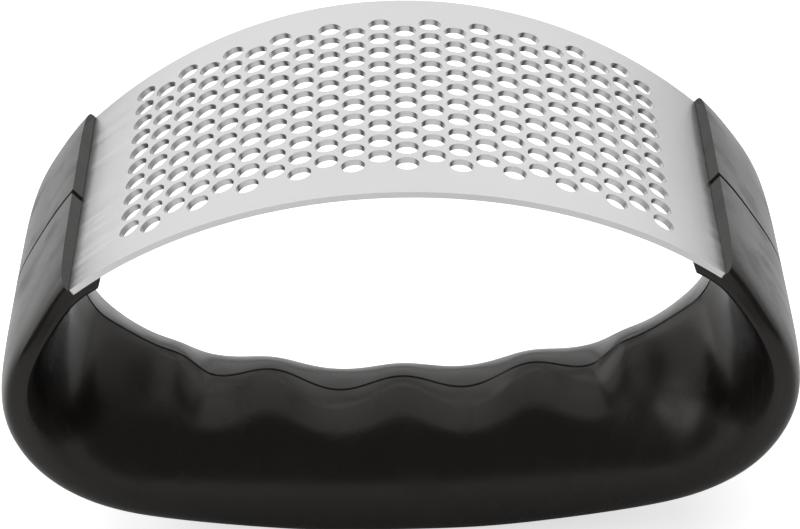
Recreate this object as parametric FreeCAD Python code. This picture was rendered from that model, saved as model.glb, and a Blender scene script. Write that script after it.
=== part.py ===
import FreeCAD, Part
import math
import os

from FreeCAD import Vector

# Garlic press of the rocking kind: an arched, perforated steel plate whose two ends are
# trapped between the front and back halves of a moulded loop handle with four finger grooves.
# The handle stands on the flat of its grip, the plate arches over the finger loop.
# +X runs along the handle, +Y from the front half to the back half, +Z up.
# Everything is laid out about the plate's arc axis, then lifted onto the resting face.

# ---- driving dimensions, millimetres and degrees ----
PLATE_RADIUS = 78.0            # outer face of the arched plate
PLATE_THICKNESS = 1.0
PLATE_HALF_WIDTH = 31.2        # at the crown of the arch
PLATE_EDGE_BOW = 310.0         # plan radius of the two long edges
LIP_ANGLE = 40.3               # where the plate enters the handle, from the crown
TAB_ANGLE = 43.2               # where the hidden end of the plate turns down
TAB_TURN = 22.0                # how far it turns
TAB_BEND = 4.0                 # centre-line radius of that turn
TAB_LENGTH = 7.0
TAB_HALF_WIDTH = 24.5

HOLE_DIAMETER = 3.7
HOLE_COLUMNS = 22
HOLE_ROWS = 10
HOLE_PITCH = 4.77              # along a column, and between neighbouring columns' staggered rows
COLUMN_ANGLE = 3.03            # from one column to the next

GROOVE_DEPTH = 3.0             # finger grooves, at the middle of the grip's crown
GROOVE_FALLOFF = 4             # how fast they run out towards the front and back
GROOVE_FADE = (3.0, 4.2)       # stations between which they die out along the arms

WALL = 2.6                     # moulded skin of a handle half
RIB = 1.8
RIB_SPACING = 11.0             # between the upright webs in the grip
ARM_RIB_LEVELS = (26.0, 35.0)  # undersides of the level webs in the arms
ARM_INSIDE = 40.0              # the arms lie further out than this

SCREW_RADIUS = 1.5
SCREW_HEAD_RADIUS = 2.8
SCREW_HEAD_HEIGHT = 2.2
SCREW_SHOULDER = 8.0           # seat of the head, from the parting plane
SCREW_BITE = 9.0               # thread in the front half, from the parting plane
SCREW_RECESS_RADIUS = 3.2
BOSS_RADIUS = 4.3
RUNNING_GAP = 0.1

FOOT_LEVEL = 0.9               # height of the resting face above the outer curve's lowest point

# One row for each station round the loop, from the middle of the grip to the plate's lip:
# inner x, z and outer x, z on the parting plane, half width, part of the wall that lies on
# the finger side of the widest line, and the squareness of the finger side and palm side.
STATIONS = (
    (0.0, 23.7, 0.0, 0.3, 15.2, 0.78, 2.0, 3.0),
    (10.7, 24.3, 12.2, 0.5, 15.3, 0.78, 2.0, 3.0),
    (21.2, 25.7, 24.4, 1.8, 15.9, 0.76, 1.9, 3.0),
    (30.4, 27.8, 36.4, 4.3, 17.2, 0.74, 1.75, 3.1),
    (38.9, 30.4, 47.6, 8.6, 19.8, 0.70, 1.5, 3.3),
    (45.5, 34.6, 56.1, 15.5, 22.9, 0.66, 1.35, 3.6),
    (49.5, 38.2, 61.4, 25.0, 26.2, 0.63, 1.3, 4.1),
    (51.7, 43.3, 63.6, 35.7, 28.9, 0.60, 1.4, 4.6),
    (51.9, 48.2, 62.0, 45.3, 29.8, 0.56, 1.7, 5.0),
    (51.0, 52.2, 57.9, 52.9, 29.0, 0.53, 2.4, 5.0),
    (49.2, 55.2, 51.9, 61.3, 27.4, 0.50, 3.6, 5.0),
)
LEDGE_END = (46.5, 57.4, 43.2, 69.6, 27.2, 0.50, 5.0, 5.0)   # plane of the ledge's end face

SECTION_POINTS = 33
STATION_STEPS = 5              # sections between two rows
CAVITY_REACH = 7.4             # last station that the moulded-out space reaches

SCREW_SPOTS = ((-38.0, 19.0), (38.0, 19.0), (-57.0, 42.0), (57.0, 42.0))

MOUTH = 120.0                  # longer than any part of the object, for cutting tools


def vec(x, y, z):
    return Vector(x, y, z)


def polar(radius, degrees):
    angle = math.radians(degrees)
    return vec(radius * math.sin(angle), 0, radius * math.cos(angle))


# ---- perforated plate ----

def arch_outline(gap):
    """Closed XZ outline of the arch between its two tabs, thickened by a gap."""
    outer = PLATE_RADIUS + gap
    inner = PLATE_RADIUS - PLATE_THICKNESS - gap
    left, right = -TAB_ANGLE, TAB_ANGLE
    edges = [
        Part.Arc(polar(outer, left), polar(outer, 0), polar(outer, right)).toShape(),
        Part.LineSegment(polar(outer, right), polar(inner, right)).toShape(),
        Part.Arc(polar(inner, right), polar(inner, 0), polar(inner, left)).toShape(),
        Part.LineSegment(polar(inner, left), polar(outer, left)).toShape(),
    ]
    return Part.Face(Part.Wire(edges))


def tab_outline(sign, gap):
    """Closed XZ outline of one turned-down end, offset each way from its centre line."""
    half = PLATE_THICKNESS / 2 + gap
    middle = PLATE_RADIUS - PLATE_THICKNESS / 2
    centre = polar(middle - TAB_BEND, sign * TAB_ANGLE)
    turned = TAB_ANGLE + TAB_TURN
    angles = (TAB_ANGLE, TAB_ANGLE + TAB_TURN / 2, turned)
    fall = polar(TAB_LENGTH + gap, sign * (turned + 90))
    corners = {}
    for name, radius in (("out", TAB_BEND + half), ("in", TAB_BEND - half)):
        corners[name] = [centre + polar(radius, sign * angle) for angle in angles]
    outside, inside = corners["out"], corners["in"]
    edges = [
        Part.Arc(*outside).toShape(),
        Part.LineSegment(outside[2], outside[2] + fall).toShape(),
        Part.LineSegment(outside[2] + fall, inside[2] + fall).toShape(),
        Part.LineSegment(inside[2] + fall, inside[2]).toShape(),
        Part.Arc(*reversed(inside)).toShape(),
        Part.LineSegment(inside[0], outside[0]).toShape(),
    ]
    return Part.Face(Part.Wire(edges))


def extrude_y(face, half_width):
    prism = face.extrude(vec(0, 2 * half_width, 0))
    prism.translate(vec(0, -half_width, 0))
    return prism


def plan_shape(gap):
    """Plan of the plate: two bowed long edges over the arch, as a tall prism."""
    half_length = PLATE_RADIUS * math.sin(math.radians(TAB_ANGLE))
    sagitta = PLATE_EDGE_BOW - math.sqrt(PLATE_EDGE_BOW ** 2 - half_length ** 2)
    middle = PLATE_HALF_WIDTH + gap
    end = middle - sagitta
    front = Part.Arc(vec(-half_length, -end, 0), vec(0, -middle, 0), vec(half_length, -end, 0))
    back = Part.Arc(vec(half_length, end, 0), vec(0, middle, 0), vec(-half_length, end, 0))
    edges = [
        front.toShape(),
        Part.LineSegment(vec(half_length, -end, 0), vec(half_length, end, 0)).toShape(),
        back.toShape(),
        Part.LineSegment(vec(-half_length, end, 0), vec(-half_length, -end, 0)).toShape(),
    ]
    return Part.Face(Part.Wire(edges)).extrude(vec(0, 0, MOUTH))


def plate_blank(gap):
    """The plate before punching; with a gap it is the slot that takes the plate."""
    arch = extrude_y(arch_outline(gap), MOUTH / 2).common(plan_shape(gap))
    tabs = [extrude_y(tab_outline(sign, gap), TAB_HALF_WIDTH + gap) for sign in (-1, 1)]
    return arch.multiFuse(tabs).removeSplitter()


def hole_tool(column, row):
    """A punch standing square to the arch at one place of the staggered pattern."""
    middle_column = (HOLE_COLUMNS - 1) / 2
    middle_row = (HOLE_ROWS - 1) / 2
    stagger = HOLE_PITCH / 4 if column % 2 == 0 else -HOLE_PITCH / 4
    y = (middle_row - row) * HOLE_PITCH + stagger
    angle = (column - middle_column) * COLUMN_ANGLE
    length = 4 * PLATE_THICKNESS
    base = polar(PLATE_RADIUS - length, angle) + vec(0, y, 0)
    return Part.makeCylinder(HOLE_DIAMETER / 2, 2 * length, base, polar(1, angle))


def perforated_plate():
    tools = [hole_tool(c, r) for c in range(HOLE_COLUMNS) for r in range(HOLE_ROWS)]
    return plate_blank(0).cut(tools)


# ---- handle ----

def smooth_curve(points, parameters):
    curve = Part.BSplineCurve()
    curve.interpolate(Points=points, Parameters=parameters)
    return curve


def station_curves():
    """Smooth curves through the station rows, mirrored about the middle of the grip."""
    rows = list(STATIONS) + [LEDGE_END]
    right = list(range(len(rows)))
    order = [-i for i in reversed(right[1:])] + right
    signs = [-1 if i < 0 else 1 for i in order]
    picked = [rows[abs(i)] for i in order]
    groups = (
        [vec(s * r[0], 0, r[1]) for s, r in zip(signs, picked)],
        [vec(s * r[2], 0, r[3]) for s, r in zip(signs, picked)],
        [vec(r[4], r[5], i) for i, r in zip(order, picked)],
        [vec(r[6], r[7], i) for i, r in zip(order, picked)],
    )
    return [smooth_curve(points, [float(i) for i in order]) for points in groups]


INNER, OUTER, BREADTH, SQUARENESS = station_curves()
LAST_STATION = len(STATIONS)


def groove_depth(station):
    """Depth cut into the crown: a groove at every odd station, a ridge at every even one."""
    start, stop = GROOVE_FADE
    fade = min(max((abs(station) - start) / (stop - start), 0), 1)
    smooth = 1 - fade * fade * (3 - 2 * fade)
    return GROOVE_DEPTH / 2 * smooth * (1 - math.cos(math.pi * station))


def section(station, skin):
    """Half of one cross-section, from its finger side round the front to its palm side."""
    inner = INNER.value(station)
    outer = OUTER.value(station)
    breadth = BREADTH.value(station)
    square = SQUARENESS.value(station)
    across = (inner - outer).normalize()
    inner = inner - across * skin
    outer = outer + across * skin
    depth = (inner - outer).Length
    widest = outer + across * depth * (1 - breadth.y)
    groove = groove_depth(station)
    points = []
    for i in range(SECTION_POINTS):
        angle = math.pi * i / (SECTION_POINTS - 1)
        side, up = math.sin(angle), math.cos(angle)
        power = square.x if up > 0 else square.y
        reach = depth * breadth.y if up > 0 else depth * (1 - breadth.y)
        norm = (abs(side) ** power + abs(up) ** power) ** (1 / power)
        y = 0 if i in (0, SECTION_POINTS - 1) else -(breadth.x - skin) * side / norm
        height = reach * up / norm - groove * max(up, 0) ** GROOVE_FALLOFF
        points.append(widest + across * height + vec(0, y, 0))
    return points


def skin_surface(rows, stations):
    """Surface through rows of points: smooth along each row, then from station to station."""
    steps = [float(i) for i in range(len(rows[0]))]
    sections = [smooth_curve(row, steps) for row in rows]
    columns = zip(*[curve.getPoles() for curve in sections])
    lengthwise = [smooth_curve(list(column), stations) for column in columns]
    poles = [list(row) for row in zip(*[curve.getPoles() for curve in lengthwise])]
    along, across = lengthwise[0], sections[0]
    surface = Part.BSplineSurface()
    surface.buildFromPolesMultsKnots(
        poles, along.getMultiplicities(), across.getMultiplicities(),
        along.getKnots(), across.getKnots(), False, False, along.Degree, across.Degree)
    return surface


def flat_face(edges):
    return Part.Face(Part.Wire(Part.__sortEdges__(edges)))


def front_solid(skin, reach):
    """Front half of the loop between two end stations, shrunk by a skin thickness."""
    steps = int(round(reach * STATION_STEPS))
    stations = [i * reach / steps for i in range(-steps, steps + 1)]
    flank = skin_surface([section(s, skin) for s in stations], stations).toShape()
    ends = [edge for edge in flank.Edges if edge.BoundBox.YLength > 1]
    sides = [edge for edge in flank.Edges if edge.BoundBox.YLength <= 1]
    straights = [
        Part.LineSegment(edge.Vertexes[0].Point, edge.Vertexes[-1].Point).toShape()
        for edge in ends
    ]
    caps = [flat_face([end, straight]) for end, straight in zip(ends, straights)]
    shell = Part.makeShell([flank, flat_face(sides + straights)] + caps)
    shell.sewShape()
    solid = Part.Solid(shell)
    if solid.Volume < 0:
        solid.reverse()
    return solid


def lip_opening():
    """Space above the plate's underside between the two lips."""
    reach = 1.5 * PLATE_RADIUS
    floor_radius = PLATE_RADIUS - PLATE_THICKNESS
    left, right = -LIP_ANGLE, LIP_ANGLE
    edges = [
        Part.LineSegment(polar(floor_radius, left), polar(reach, left)).toShape(),
        Part.Arc(polar(reach, left), polar(reach, 0), polar(reach, right)).toShape(),
        Part.LineSegment(polar(reach, right), polar(floor_radius, right)).toShape(),
        Part.Arc(polar(floor_radius, right), polar(floor_radius, 0),
                 polar(floor_radius, left)).toShape(),
    ]
    return extrude_y(Part.Face(Part.Wire(edges)), MOUTH / 2)


def rod(spot, radius, y_from, y_to):
    x, z = spot
    return Part.makeCylinder(radius, y_to - y_from, vec(x, y_from, z), vec(0, 1, 0))


def ribs():
    """Upright webs across the grip and level webs across the two arms."""
    webs = []
    count = int(STATIONS[4][0] // RIB_SPACING)
    for i in range(-count, count + 1):
        low = vec(i * RIB_SPACING - RIB / 2, -MOUTH / 2, -MOUTH / 2)
        webs.append(Part.makeBox(RIB, MOUTH / 2, MOUTH, low))
    for x in (ARM_INSIDE, -ARM_INSIDE - MOUTH):
        for level in ARM_RIB_LEVELS:
            webs.append(Part.makeBox(MOUTH, MOUTH / 2, RIB, vec(x, -MOUTH / 2, level)))
    return webs


def handle_half():
    """Front half with its slot for the plate, resting face and moulded-out space."""
    body = front_solid(0, LAST_STATION)
    space = front_solid(WALL, CAVITY_REACH)
    bosses = [rod(spot, BOSS_RADIUS, -MOUTH / 2, 0) for spot in SCREW_SPOTS]
    space = space.cut(ribs() + bosses)
    below = Part.makeBox(MOUTH * 2, MOUTH, MOUTH, vec(-MOUTH, -MOUTH, FOOT_LEVEL - MOUTH))
    slot = plate_blank(RUNNING_GAP / 2)
    return body.cut([lip_opening(), slot, space, below])


def front_handle_shell(half):
    pilots = [rod(spot, SCREW_RADIUS, -SCREW_BITE - 1, 0) for spot in SCREW_SPOTS]
    return half.cut(pilots)


def back_handle_shell(half):
    back = half.mirror(vec(0, 0, 0), vec(0, 1, 0))
    passages = [rod(spot, SCREW_RADIUS + RUNNING_GAP, 0, MOUTH / 2) for spot in SCREW_SPOTS]
    recesses = [rod(spot, SCREW_RECESS_RADIUS, SCREW_SHOULDER, MOUTH / 2) for spot in SCREW_SPOTS]
    return back.cut(passages + recesses)


def handle_screws():
    """Four self-tapping screws, driven from the back into the front half."""
    screws = []
    for spot in SCREW_SPOTS:
        shank = rod(spot, SCREW_RADIUS, -SCREW_BITE, SCREW_SHOULDER)
        head = rod(spot, SCREW_HEAD_RADIUS, SCREW_SHOULDER, SCREW_SHOULDER + SCREW_HEAD_HEIGHT)
        screws.append(shank.fuse(head).removeSplitter())
    return Part.makeCompound(screws)


def main():
    os.makedirs("parts", exist_ok=True)
    half = handle_half()
    nodes = {
        "perforated_plate": perforated_plate(),
        "front_handle_shell": front_handle_shell(half),
        "back_handle_shell": back_handle_shell(half),
        "handle_screws": handle_screws(),
    }
    for name, shape in nodes.items():
        shape.translate(vec(0, 0, -FOOT_LEVEL))
        print(name, "solids", len(shape.Solids), "valid", shape.isValid(),
              "volume", round(shape.Volume, 1), shape.BoundBox)
        shape.exportStep("parts/" + name + ".step")


main()
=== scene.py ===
import math

import bmesh
import bpy
import numpy as np
from mathutils import Matrix, Vector


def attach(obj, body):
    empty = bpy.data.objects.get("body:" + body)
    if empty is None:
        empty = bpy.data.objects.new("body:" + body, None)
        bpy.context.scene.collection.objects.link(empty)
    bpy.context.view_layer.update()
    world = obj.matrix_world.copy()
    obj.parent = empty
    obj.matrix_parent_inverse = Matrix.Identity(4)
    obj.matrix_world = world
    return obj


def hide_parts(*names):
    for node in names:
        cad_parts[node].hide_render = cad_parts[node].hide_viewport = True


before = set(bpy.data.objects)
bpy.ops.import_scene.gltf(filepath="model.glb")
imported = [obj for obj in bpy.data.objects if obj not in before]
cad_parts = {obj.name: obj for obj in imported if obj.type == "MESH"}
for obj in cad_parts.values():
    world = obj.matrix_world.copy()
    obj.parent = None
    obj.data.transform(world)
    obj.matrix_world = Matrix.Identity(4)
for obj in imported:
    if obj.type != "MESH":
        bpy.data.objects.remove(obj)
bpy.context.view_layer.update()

# ---- dimensions shared with the CAD part, in millimetres from the plate's arc axis ----
MM = 0.001
ARC_RADIUS = 78.0
FOOT_LEVEL = 0.9
PLATE_THICKNESS = 1.0
PLATE_HALF_WIDTH = 31.2
PLATE_EDGE_BOW = 310.0
LIP_ANGLE = math.radians(40.3)
TAB_ANGLE = math.radians(43.2)
TAB_TURN = math.radians(22)
TAB_BEND = 4.0
TAB_LENGTH = 7.0
TAB_HALF_WIDTH = 24.5
SLOT_GAP = 0.06                   # room round the plate's hidden ends
GROOVE_DEPTH = 3.0
GROOVE_FALLOFF = 4
GROOVE_FADE = (3.0, 4.2)
SCREW_SPOTS = ((-38.0, 19.0), (38.0, 19.0), (-57.0, 42.0), (57.0, 42.0))
SCREW_SHOULDER = 8.0
SCREW_RECESS_RADIUS = 3.2
SCREW_RADIUS = 1.5
SCREW_HEAD_RADIUS = 2.8
SCREW_HEAD_HEIGHT = 2.2
SCREW_BITE = 9.0
DRIVE_HALF_LENGTH = 1.5           # the cross recess in a screw's head
DRIVE_HALF_WIDTH = 0.3
DRIVE_FLOOR = 1.2                 # above the screw's shoulder

# One row for each station round the loop, from the middle of the grip to the ledge's end:
# inner x, z and outer x, z on the parting plane, half width, part of the wall that lies on
# the finger side of the widest line, and the squareness of the finger side and palm side.
STATIONS = (
    (0.0, 23.7, 0.0, 0.3, 15.2, 0.78, 2.0, 3.0),
    (10.7, 24.3, 12.2, 0.5, 15.3, 0.78, 2.0, 3.0),
    (21.2, 25.7, 24.4, 1.8, 15.9, 0.76, 1.9, 3.0),
    (30.4, 27.8, 36.4, 4.3, 17.2, 0.74, 1.75, 3.1),
    (38.9, 30.4, 47.6, 8.6, 19.8, 0.70, 1.5, 3.3),
    (45.5, 34.6, 56.1, 15.5, 22.9, 0.66, 1.35, 3.6),
    (49.5, 38.2, 61.4, 25.0, 26.2, 0.63, 1.3, 4.1),
    (51.7, 43.3, 63.6, 35.7, 28.9, 0.60, 1.4, 4.6),
    (51.9, 48.2, 62.0, 45.3, 29.8, 0.56, 1.7, 5.0),
    (51.0, 52.2, 57.9, 52.9, 29.0, 0.53, 2.4, 5.0),
    (49.2, 55.2, 51.9, 61.3, 27.4, 0.50, 3.6, 5.0),
    (46.5, 57.4, 43.2, 69.6, 27.2, 0.50, 5.0, 5.0),
)
LAST_STATION = len(STATIONS) - 1
ROWS_PER_STATION = 12
SECTION_POINTS = 64
FINGER_CHAMFER = 0.3              # along each half's edge at the parting line
PALM_CHAMFER = 0.5
NOTCH_WIDTH = 0.9                 # half the opening of the vee in a lip's end face
NOTCH_ANGLE = 0.8                 # its depth, in degrees about the arc axis


# ---- meshes by formula ----

def smooth_rows(rows):
    """Natural cubic spline through evenly spaced rows of numbers; returns a function."""
    rows = np.array(rows)
    count = len(rows)
    system = np.eye(count)
    right = np.zeros_like(rows)
    for i in range(1, count - 1):
        system[i, i - 1:i + 2] = (1, 4, 1)
        right[i] = 6 * (rows[i + 1] - 2 * rows[i] + rows[i - 1])
    bend = np.linalg.solve(system, right)

    def value(position):
        i = min(max(int(position), 0), count - 2)
        b = position - i
        a = 1 - b
        curve = (a ** 3 - a) * bend[i] + (b ** 3 - b) * bend[i + 1]
        return a * rows[i] + b * rows[i + 1] + curve / 6

    return value


def loop_rows():
    """The station rows on both sides of the middle, left to right."""
    mirror = (-1, 1, -1, 1, 1, 1, 1, 1)
    left = [[m * v for m, v in zip(mirror, row)] for row in reversed(STATIONS[1:])]
    return left + [list(row) for row in STATIONS]


loop_at = smooth_rows(loop_rows())


def groove_depth(station):
    """Depth cut into the crown: a groove at every odd station, a ridge at every even one."""
    start, stop = GROOVE_FADE
    fade = min(max((abs(station) - start) / (stop - start), 0), 1)
    smooth = 1 - fade * fade * (3 - 2 * fade)
    return GROOVE_DEPTH / 2 * smooth * (1 - math.cos(math.pi * station))


def section(station):
    """Half section of the handle, from the finger side round the front to the palm side."""
    ix, iz, ox, oz, half_width, share, finger_square, palm_square = loop_at(station + LAST_STATION)
    inner = np.array((ix, 0, iz))
    outer = np.array((ox, 0, oz))
    depth = np.linalg.norm(inner - outer)
    across = (inner - outer) / depth
    widest = outer + across * depth * (1 - share)
    groove = groove_depth(station)
    near, far = FINGER_CHAMFER / half_width, PALM_CHAMFER / half_width
    angles = [0, near / 2, near]
    angles += list(np.linspace(2 * near, math.pi - 2 * far, SECTION_POINTS))
    angles += [math.pi - far, math.pi - far / 2, math.pi]
    points = []
    for angle in angles:
        side, up = math.sin(angle), math.cos(angle)
        power = finger_square if up > 0 else palm_square
        reach = depth * share if up > 0 else depth * (1 - share)
        norm = (side ** power + abs(up) ** power) ** (1 / power)
        y = half_width * side / norm
        chamfer = max((FINGER_CHAMFER if up > 0 else PALM_CHAMFER) - y, 0)
        along = reach * up / norm - groove * max(up, 0) ** GROOVE_FALLOFF - math.copysign(chamfer, up)
        point = widest + across * along - np.array((0, y, 0))
        point[2] = max(point[2], FOOT_LEVEL)
        points.append(point)
    return points


def to_row_frame(point):
    return (point[0] * MM, point[1] * MM, (point[2] - FOOT_LEVEL) * MM)


def new_mesh(name, points, faces, side=1):
    """An object from points in millimetres; side -1 mirrors it to the back."""
    mesh = bpy.data.meshes.new(name)
    places = [to_row_frame((p[0], side * p[1], p[2])) for p in points]
    mesh.from_pydata(places, [], faces)
    work = bmesh.new()
    work.from_mesh(mesh)
    bmesh.ops.remove_doubles(work, verts=work.verts, dist=0.002 * MM)
    bmesh.ops.recalc_face_normals(work, faces=work.faces)
    work.to_mesh(mesh)
    work.free()
    obj = bpy.data.objects.new(name, mesh)
    bpy.context.scene.collection.objects.link(obj)
    return obj


def grid_faces(rows, columns):
    """Quads of a grid whose points are numbered row by row."""
    return [
        (i * columns + j, i * columns + j + 1, (i + 1) * columns + j + 1, (i + 1) * columns + j)
        for i in range(rows - 1) for j in range(columns - 1)
    ]


def ring_faces(rings, sides):
    """Faces of a closed tube whose points are numbered ring by ring: both ends, then the walls."""
    faces = [tuple(range(sides)), tuple(range((rings - 1) * sides, rings * sides))]
    for ring in range(rings - 1):
        start, above = ring * sides, (ring + 1) * sides
        for i in range(sides):
            after = (i + 1) % sides
            faces.append((start + i, start + after, above + after, above + i))
    return faces


def handle_body(name, side):
    """Closed half of the loop, before its plate slot and lips are cut."""
    count = 2 * LAST_STATION * ROWS_PER_STATION + 1
    rows = [section((i / ROWS_PER_STATION) - LAST_STATION) for i in range(count)]
    columns = len(rows[0])
    points = [point for row in rows for point in row]
    faces = grid_faces(count, columns)
    for i in range(count - 1):
        start, after = i * columns, (i + 1) * columns
        faces.append((start, after, after + columns - 1, start + columns - 1))
    faces.append(tuple(range(columns)))
    faces.append(tuple(range((count - 1) * columns, count * columns)))
    return new_mesh(name, points, faces, side)


def polar(radius, angle):
    return np.array((radius * math.sin(angle), 0, radius * math.cos(angle)))


def plate_line(distance):
    """Point and outward normal on the plate's centre line, by length from the crown."""
    sign = 1 if distance > 0 else -1
    rest = abs(distance)
    middle = ARC_RADIUS - PLATE_THICKNESS / 2
    if rest <= middle * TAB_ANGLE:
        normal = polar(1, distance / middle)
        return normal * middle, normal
    rest -= middle * TAB_ANGLE
    centre = polar(middle - TAB_BEND, sign * TAB_ANGLE)
    if rest <= TAB_BEND * TAB_TURN:
        normal = polar(1, sign * (TAB_ANGLE + rest / TAB_BEND))
        return centre + normal * TAB_BEND, normal
    rest -= TAB_BEND * TAB_TURN
    normal = polar(1, sign * (TAB_ANGLE + TAB_TURN))
    along = polar(1, sign * (TAB_ANGLE + TAB_TURN + math.pi / 2))
    return centre + normal * TAB_BEND + along * rest, normal


def plate_half_width(x):
    return PLATE_HALF_WIDTH - (PLATE_EDGE_BOW - math.sqrt(PLATE_EDGE_BOW ** 2 - x * x))


def slot_tool():
    """The plate's hidden room in the handle, a little larger than the plate."""
    arc_length = (ARC_RADIUS - PLATE_THICKNESS / 2) * TAB_ANGLE
    half_length = arc_length + TAB_BEND * TAB_TURN + TAB_LENGTH + SLOT_GAP
    lengths = np.linspace(-half_length, half_length, 161)
    points = []
    for length in lengths:
        centre, normal = plate_line(length)
        half_width = plate_half_width(centre[0]) + SLOT_GAP
        if abs(length) > arc_length:
            half_width = TAB_HALF_WIDTH + SLOT_GAP
        for height, y in ((1, -1), (1, 1), (-1, 1), (-1, -1)):
            offset = normal * height * (PLATE_THICKNESS / 2 + SLOT_GAP)
            points.append(centre + offset + np.array((0, y * half_width, 0)))
    return new_mesh("slot_tool", points, ring_faces(len(lengths), 4))


def lip_tool():
    """Room above the plate's underside between the two lips."""
    angles = np.linspace(-LIP_ANGLE, LIP_ANGLE, 81)
    low, high = ARC_RADIUS - PLATE_THICKNESS, 1.5 * ARC_RADIUS
    side = 60
    points = []
    for angle in angles:
        for radius, y in ((low, -side), (low, side), (high, side), (high, -side)):
            points.append(polar(radius, angle) + np.array((0, y, 0)))
    return new_mesh("lip_tool", points, ring_faces(len(angles), 4))


def prism(name, outline, offset):
    """A closed prism from an outline and its copy moved by an offset."""
    points = list(outline) + [point + offset for point in outline]
    return new_mesh(name, points, ring_faces(2, len(outline)))


def notch_tool(sign):
    """Small vee where the two halves meet at the end face of a lip."""
    angles = (LIP_ANGLE - math.radians(0.3), LIP_ANGLE + math.radians(NOTCH_ANGLE))
    corners = ((angles[0], -NOTCH_WIDTH), (angles[0], NOTCH_WIDTH), (angles[1], 0))
    low = ARC_RADIUS + 0.05
    outline = [polar(low, sign * angle) + np.array((0, y, 0)) for angle, y in corners]
    return prism("notch_tool", outline, polar(10, sign * LIP_ANGLE))


def rod_mesh(name, spot, profile, segments=48):
    """A turned shape round a line along Y: profile rows are (radius, y)."""
    x, z = spot
    points = []
    for radius, y in profile:
        for i in range(segments):
            turn = 2 * math.pi * i / segments
            points.append(np.array((x + radius * math.cos(turn), y, z + radius * math.sin(turn))))
    return new_mesh(name, points, ring_faces(len(profile), segments))


def carve(obj, tool):
    """Cuts a tool out of a piece for good and throws the tool away."""
    cut = obj.modifiers.new("cut", "BOOLEAN")
    cut.operation = "DIFFERENCE"
    cut.solver = "EXACT"
    cut.object = tool
    bpy.context.view_layer.update()
    made = bpy.data.meshes.new_from_object(obj.evaluated_get(bpy.context.evaluated_depsgraph_get()))
    obj.modifiers.clear()
    obj.data = made
    bpy.data.objects.remove(tool)


def soften(obj, degrees):
    """Smooth shading, with edges kept crisp beyond an angle."""
    obj.data.shade_smooth()
    obj.data.set_sharp_from_angle(angle=math.radians(degrees))


def handle_shell(name, side, screw_seats):
    """One moulded half with its lips, plate slot and screw recesses."""
    shell = handle_body(name, side)
    carve(shell, lip_tool())
    carve(shell, slot_tool())
    for sign in (-1, 1):
        carve(shell, notch_tool(sign))
    if screw_seats:
        for spot in SCREW_SPOTS:
            seat = ((SCREW_RECESS_RADIUS, SCREW_SHOULDER), (SCREW_RECESS_RADIUS, 40))
            carve(shell, rod_mesh("seat_tool", spot, seat))
    soften(shell, 35)
    return shell


def screw(number, spot):
    """Plain-shanked screw with a domed head and a cross recess, driven from the back."""
    rim = SCREW_HEAD_HEIGHT / 2
    dome = [
        (SCREW_HEAD_RADIUS * math.cos(turn), SCREW_SHOULDER + rim + rim * math.sin(turn))
        for turn in np.linspace(0, math.radians(75), 8)
    ]
    shank = [
        (0.3, -SCREW_BITE),
        (SCREW_RADIUS - 0.2, -SCREW_BITE + 2),
        (SCREW_RADIUS, -SCREW_BITE + 4),
        (SCREW_RADIUS, SCREW_SHOULDER),
    ]
    profile = shank + [(SCREW_HEAD_RADIUS, SCREW_SHOULDER)] + dome
    made = rod_mesh("screw_%d" % number, spot, profile, segments=64)
    centre = np.array((spot[0], 0, spot[1]))
    long, short = DRIVE_HALF_LENGTH, DRIVE_HALF_WIDTH
    floor = SCREW_SHOULDER + DRIVE_FLOOR
    for wide, tall in ((long, short), (short, long)):
        corners = ((-wide, -tall), (wide, -tall), (wide, tall), (-wide, tall))
        outline = [centre + np.array((x, floor, z)) for x, z in corners]
        carve(made, prism("drive_tool", outline, np.array((0, 3, 0))))
    soften(made, 30)
    return made


# ---- shader helpers ----

def new_material(name):
    """A material whose node tree holds only its surface shader and output, and that shader."""
    material = bpy.data.materials.new(name)
    material.use_nodes = True
    return material, material.node_tree.nodes["Principled BSDF"]


def object_noise(material, scale, detail, stretch=(1, 1, 1)):
    """Noise laid out in the object's own coordinates, stretched along chosen axes."""
    tree = material.node_tree
    place = tree.nodes.new("ShaderNodeTexCoord")
    mapping = tree.nodes.new("ShaderNodeMapping")
    mapping.inputs["Scale"].default_value = stretch
    noise = tree.nodes.new("ShaderNodeTexNoise")
    noise.inputs["Scale"].default_value = scale
    noise.inputs["Detail"].default_value = detail
    tree.links.new(place.outputs["Object"], mapping.inputs["Vector"])
    tree.links.new(mapping.outputs["Vector"], noise.inputs["Vector"])
    return noise.outputs["Fac"]


def ramp(material, value, low, high, start=0.3, stop=0.7):
    """A value between start and stop turned into one between low and high."""
    tree = material.node_tree
    node = tree.nodes.new("ShaderNodeMapRange")
    node.inputs["From Min"].default_value = start
    node.inputs["From Max"].default_value = stop
    node.inputs["To Min"].default_value = low
    node.inputs["To Max"].default_value = high
    tree.links.new(value, node.inputs["Value"])
    return node.outputs["Result"]


def tint(material, value, dark, light):
    """A noise value turned into a colour between two."""
    tree = material.node_tree
    node = tree.nodes.new("ShaderNodeMix")
    node.data_type = "RGBA"
    node.inputs["A"].default_value = (*dark, 1)
    node.inputs["B"].default_value = (*light, 1)
    tree.links.new(value, node.inputs["Factor"])
    return node.outputs["Result"]


def add(material, first, second):
    """The sum of two values."""
    tree = material.node_tree
    node = tree.nodes.new("ShaderNodeMath")
    node.operation = "ADD"
    tree.links.new(first, node.inputs[0])
    tree.links.new(second, node.inputs[1])
    return node.outputs["Value"]


def bump(material, height, distance, after=None):
    """Fine relief in metres, on top of an earlier bump if one is given."""
    tree = material.node_tree
    node = tree.nodes.new("ShaderNodeBump")
    node.inputs["Distance"].default_value = distance
    node.inputs["Strength"].default_value = 1
    tree.links.new(height, node.inputs["Height"])
    if after is not None:
        tree.links.new(after, node.inputs["Normal"])
    return node.outputs["Normal"]


# ---- materials ----

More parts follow.
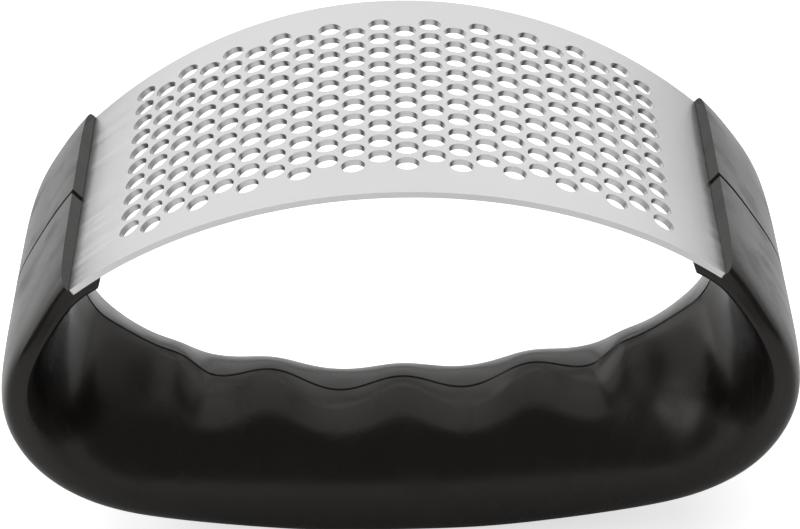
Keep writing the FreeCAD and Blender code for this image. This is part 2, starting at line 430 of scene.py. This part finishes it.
def handle_plastic():
    """Glossy black moulding with faint flow marks and the dulled patches of handling."""
    material, surface = new_material("handle_plastic")
    link = material.node_tree.links.new
    patches = object_noise(material, 55, 4)
    scuffs = object_noise(material, 170, 7, stretch=(1, 1, 0.5))
    grain = object_noise(material, 2600, 2)
    flow = object_noise(material, 120, 3)
    black = tint(material, patches, (0.0036, 0.0033, 0.0032), (0.0095, 0.0078, 0.0068))
    link(black, surface.inputs["Base Color"])
    polish = ramp(material, patches, 0.19, 0.27)
    dulled = ramp(material, scuffs, 0, 0.16, start=0.5, stop=0.8)
    link(add(material, polish, dulled), surface.inputs["Roughness"])
    relief = bump(material, flow, 0.00006)
    link(bump(material, grain, 0.000004, after=relief), surface.inputs["Normal"])
    surface.inputs["IOR"].default_value = 1.45
    surface.inputs["Specular Tint"].default_value = (1, 0.95, 0.91, 1)
    return material


def plate_steel():
    """Satin stainless sheet with a fine brushed grain along the arch."""
    material, surface = new_material("plate_steel")
    link = material.node_tree.links.new
    grain = object_noise(material, 900, 5, stretch=(0.03, 1, 0.03))
    clouds = object_noise(material, 35, 3)
    surface.inputs["Metallic"].default_value = 1
    surface.inputs["Anisotropic"].default_value = 0.4
    link(tint(material, clouds, (0.74, 0.74, 0.74), (0.80, 0.80, 0.795)), surface.inputs["Base Color"])
    link(ramp(material, grain, 0.30, 0.42), surface.inputs["Roughness"])
    link(bump(material, grain, 0.00001), surface.inputs["Normal"])
    return material


def screw_steel():
    """Bright zinc plating, a little uneven."""
    material, surface = new_material("screw_steel")
    link = material.node_tree.links.new
    clouds = object_noise(material, 700, 3)
    surface.inputs["Metallic"].default_value = 1
    link(tint(material, clouds, (0.42, 0.43, 0.45), (0.58, 0.58, 0.57)), surface.inputs["Base Color"])
    link(ramp(material, clouds, 0.25, 0.45), surface.inputs["Roughness"])
    link(bump(material, clouds, 0.00001), surface.inputs["Normal"])
    return material


def floor_white():
    """Pale seamless paper."""
    material, surface = new_material("floor_white")
    link = material.node_tree.links.new
    fibres = object_noise(material, 300, 3)
    link(tint(material, fibres, (0.90, 0.90, 0.90), (0.93, 0.93, 0.93)), surface.inputs["Base Color"])
    surface.inputs["Roughness"].default_value = 0.8
    surface.inputs["Specular IOR Level"].default_value = 0.1
    surface.inputs["Emission Color"].default_value = (1, 1, 1, 1)
    seen = material.node_tree.nodes.new("ShaderNodeLightPath")
    glow = ramp(material, seen.outputs["Is Camera Ray"], 0, 0.68, start=0, stop=1)
    link(glow, surface.inputs["Emission Strength"])
    return material


def paint(obj, material):
    obj.data.materials.clear()
    obj.data.materials.append(material)


# ---- studio ----

def soft_box(name, place, aim, width, height, radiance):
    """A rectangular lamp of even brightness facing a point."""
    lamp = bpy.data.lights.new(name, "AREA")
    lamp.shape = "RECTANGLE"
    lamp.size = width
    lamp.size_y = height
    lamp.energy = radiance * math.pi * width * height
    obj = bpy.data.objects.new(name, lamp)
    obj.location = place
    obj.rotation_mode = "QUATERNION"
    obj.rotation_quaternion = (Vector(aim) - Vector(place)).to_track_quat("-Z", "Y")
    bpy.context.scene.collection.objects.link(obj)


def make_studio():
    """White paper floor, a dim grey room and five soft lamps."""
    floor_size = 8
    bpy.ops.mesh.primitive_plane_add(size=floor_size)
    floor = bpy.context.object
    floor.name = "floor"
    paint(floor, floor_white())

    world = bpy.data.worlds.new("room")
    world.use_nodes = True
    room = world.node_tree.nodes["Background"]
    room.inputs["Color"].default_value = (0.21, 0.21, 0.21, 1)
    bpy.context.scene.world = world

    soft_box("lamp_top", (0, 0.25, 1.1), (0, 0, 0), 1.6, 1.2, 1.3)
    soft_box("lamp_back", (0, 1.3, 0.6), (0, 0, 0.05), 2.2, 1.0, 0.7)
    soft_box("lamp_left", (-1.05, 0.35, 0.45), (0, 0, 0.05), 1.15, 0.9, 1.32)
    soft_box("lamp_right", (1.1, 0.5, 0.5), (0, 0, 0.05), 1.0, 0.9, 0.6)
    soft_box("lamp_front", (-0.96, -0.34, 0.62), (0, 0, 0.05), 0.5, 0.6, 1.6)


def make_camera():
    """Long lens in front of the press, about 32 degrees above it, rolled slightly."""
    azimuth, elevation, roll = 0.0085, 0.5602, -0.0306
    distance = 6.4266 * ARC_RADIUS * MM
    target = Vector((0.0003, 0, 0.0448))
    back = Vector((
        math.sin(azimuth) * math.cos(elevation),
        -math.cos(azimuth) * math.cos(elevation),
        math.sin(elevation),
    ))
    side = Vector((0, 0, 1)).cross(back).normalized()
    rise = back.cross(side)
    right = math.cos(roll) * side + math.sin(roll) * rise
    up = math.cos(roll) * rise - math.sin(roll) * side
    lens = bpy.data.cameras.new("camera")
    lens.sensor_width = 36
    lens.lens = 138.2
    lens.clip_start = 0.01
    camera = bpy.data.objects.new("camera", lens)
    camera.matrix_world = (
        Matrix.Translation(target + back * distance)
        @ Matrix((right, up, back)).transposed().to_4x4()
    )
    bpy.context.scene.collection.objects.link(camera)
    bpy.context.scene.camera = camera


make_studio()
make_camera()
plastic = handle_plastic()
for half, direction, has_seats in (("front_handle_shell", 1, False), ("back_handle_shell", -1, True)):
    moulding = handle_shell("moulded_" + half, direction, has_seats)
    paint(moulding, plastic)
    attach(moulding, "root")
    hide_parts(half)
paint(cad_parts["perforated_plate"], plate_steel())
zinc = screw_steel()
for number, spot in enumerate(SCREW_SPOTS):
    fastener = screw(number, spot)
    paint(fastener, zinc)
    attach(fastener, "root")
    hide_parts("handle_screws")
bpy.context.scene.view_settings.view_transform = "Standard"
